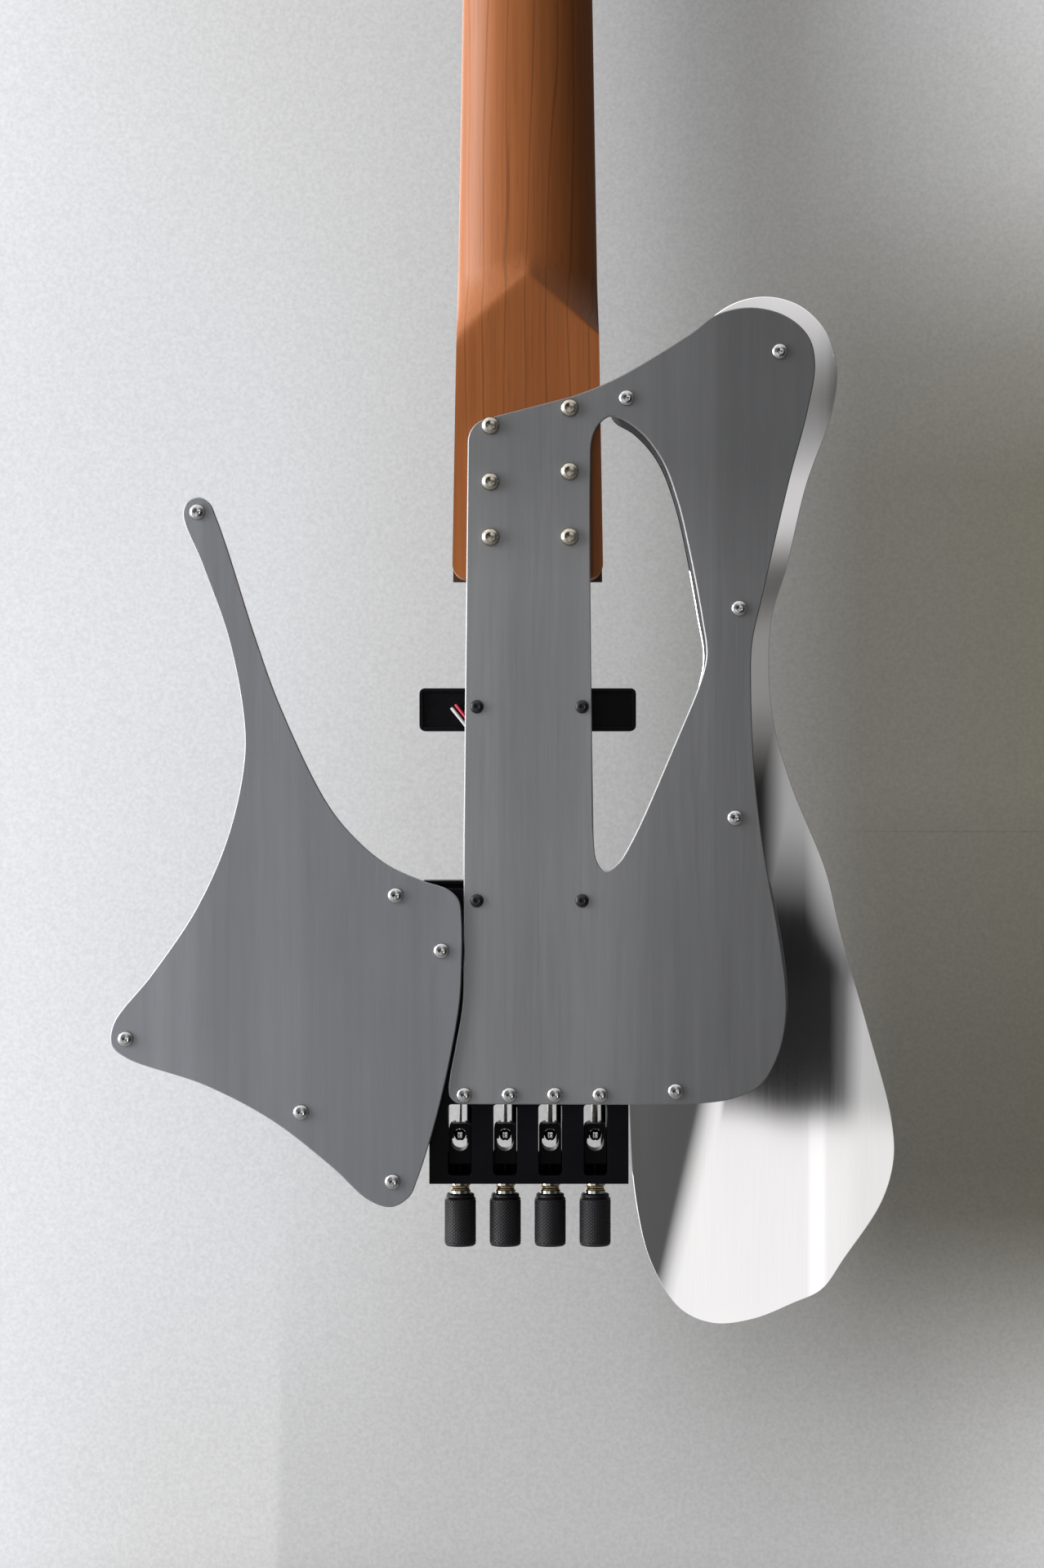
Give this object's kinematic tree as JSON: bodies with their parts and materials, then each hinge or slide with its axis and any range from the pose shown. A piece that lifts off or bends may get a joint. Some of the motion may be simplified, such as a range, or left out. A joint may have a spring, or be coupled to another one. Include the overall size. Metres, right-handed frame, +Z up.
{
  "type": "electric bass guitar",
  "caption": "Headless electric bass guitar with an open body of sheet aluminium, a bolted wood neck, slim pickups and tuners behind the bridge.",
  "frame": {"origin": "on the flat top end of the headpiece, midway across it and level with the glue line between neck and fingerboard", "axes": "+Z up along the neck, from the body towards the headpiece; +Y out of the strings' side; +X to the right for someone who looks at the back along +Y"},
  "size_m": [0.3301, 0.049, 1.0052],
  "materials": {
    "brushed_aluminium": "fine brushed, mid grey, with bright edges",
    "polished_aluminium": "mirror polished, slightly soft",
    "roasted_maple": "satin roasted maple",
    "dark_rosewood": "oiled, dark",
    "black_anodised": "satin black anodised",
    "black_plastic": "semi-gloss moulded",
    "chrome": "bright",
    "nickel": "bright nickel",
    "black_steel": "black oxide",
    "string_steel": "wound steel",
    "red_wire": "soft wire insulation",
    "white_wire": "soft wire insulation"
  },
  "bodies": {
    "body": {"back_plate": "brushed_aluminium", "body_standoff_1": "chrome", "body_standoff_2": "chrome", "body_standoff_3": "chrome", "body_standoff_4": "chrome", "body_standoff_5": "chrome", "bracket_screw": "chrome", "bracket_standoff": "chrome", "bridge_block": "black_anodised", "bridge_screw_1": "chrome", "bridge_screw_2": "chrome", "bridge_screw_3": "chrome", "bridge_screw_4": "chrome", "fingerboard": "dark_rosewood", "front_sheet": "polished_aluminium", "headpiece": "black_anodised", "lead_red": "red_wire", "lead_white": "white_wire", "neck": "roasted_maple", "neck_screw_1": "nickel", "neck_screw_2": "nickel", "neck_screw_3": "nickel", "neck_screw_4": "nickel", "neck_screw_5": "nickel", "neck_screw_6": "nickel", "output_jack": "nickel", "pickup_bridge": "black_plastic", "pickup_neck": "black_plastic", "pickup_screw_1": "black_steel", "pickup_screw_2": "black_steel", "pickup_screw_3": "black_steel", "pickup_screw_4": "black_steel", "string_a": "string_steel", "string_d": "string_steel", "string_e": "string_steel", "string_g": "string_steel", "tone_pot": "string_steel", "truss_rod": "string_steel", "volume_pot": "string_steel", "wing_back_plate": "brushed_aluminium", "wing_bracket": "brushed_aluminium", "wing_front_plate": "brushed_aluminium", "wing_standoff_1": "chrome", "wing_standoff_2": "chrome", "wing_standoff_3": "chrome", "wing_standoff_4": "chrome"},
    "tuner_knob_g": {"tuner_knob_g": "black_anodised"},
    "carriage_g": {"carriage_g": "black_anodised"},
    "saddle_g": {"saddle_g": "black_anodised"},
    "tuner_knob_d": {"tuner_knob_d": "black_anodised"},
    "carriage_d": {"carriage_d": "black_anodised"},
    "saddle_d": {"saddle_d": "black_anodised"},
    "tuner_knob_a": {"tuner_knob_a": "black_anodised"},
    "carriage_a": {"carriage_a": "black_anodised"},
    "saddle_a": {"saddle_a": "black_anodised"},
    "tuner_knob_e": {"tuner_knob_e": "black_anodised"},
    "carriage_e": {"carriage_e": "black_anodised"},
    "saddle_e": {"saddle_e": "black_anodised"},
    "volume_knob": {"volume_knob": "black_anodised"},
    "tone_knob": {"tone_knob": "black_anodised"}
  },
  "joints": [
    {"name": "tuner_g", "type": "hinge", "parent": "body", "child": "tuner_knob_g", "pos_m": [-0.0285, -0.0065, -0.9431], "axis": [0, 0, 1], "range_deg": [-2530, 1630]},
    {"name": "carriage_slide_g", "type": "slide", "parent": "body", "child": "carriage_g", "axis": [0, 0, -1], "range_m": [-0.0056, 0.0036]},
    {"name": "saddle_slide_g", "type": "slide", "parent": "body", "child": "saddle_g", "axis": [0, 0, 1], "range_m": [0, 0.004]},
    {"name": "tuner_d", "type": "hinge", "parent": "body", "child": "tuner_knob_d", "pos_m": [-0.0095, -0.0065, -0.9431], "axis": [0, 0, 1], "range_deg": [-2530, 1630]},
    {"name": "carriage_slide_d", "type": "slide", "parent": "body", "child": "carriage_d", "axis": [0, 0, -1], "range_m": [-0.0056, 0.0036]},
    {"name": "saddle_slide_d", "type": "slide", "parent": "body", "child": "saddle_d", "axis": [0, 0, 1], "range_m": [0, 0.004]},
    {"name": "tuner_a", "type": "hinge", "parent": "body", "child": "tuner_knob_a", "pos_m": [0.0095, -0.0065, -0.9431], "axis": [0, 0, 1], "range_deg": [-2530, 1630]},
    {"name": "carriage_slide_a", "type": "slide", "parent": "body", "child": "carriage_a", "axis": [0, 0, -1], "range_m": [-0.0056, 0.0036]},
    {"name": "saddle_slide_a", "type": "slide", "parent": "body", "child": "saddle_a", "axis": [0, 0, 1], "range_m": [0, 0.004]},
    {"name": "tuner_e", "type": "hinge", "parent": "body", "child": "tuner_knob_e", "pos_m": [0.0285, -0.0065, -0.9431], "axis": [0, 0, 1], "range_deg": [-2530, 1630]},
    {"name": "carriage_slide_e", "type": "slide", "parent": "body", "child": "carriage_e", "axis": [0, 0, -1], "range_m": [-0.0056, 0.0036]},
    {"name": "saddle_slide_e", "type": "slide", "parent": "body", "child": "saddle_e", "axis": [0, 0, 1], "range_m": [0, 0.004]},
    {"name": "volume_turn", "type": "hinge", "parent": "body", "child": "volume_knob", "pos_m": [-0.08, 0.013, -0.85], "axis": [0, 1, 0], "range_deg": [-270, 0]},
    {"name": "tone_turn", "type": "hinge", "parent": "body", "child": "tone_knob", "pos_m": [-0.088, 0.013, -0.884], "axis": [0, 1, 0], "range_deg": [-270, 0]}
  ],
  "couplings": [
    {"joint": "tuner_g", "follows": "carriage_slide_g", "rad_per_m": 7854},
    {"joint": "tuner_d", "follows": "carriage_slide_d", "rad_per_m": 7854},
    {"joint": "tuner_a", "follows": "carriage_slide_a", "rad_per_m": 7854},
    {"joint": "tuner_e", "follows": "carriage_slide_e", "rad_per_m": 7854}
  ]
}
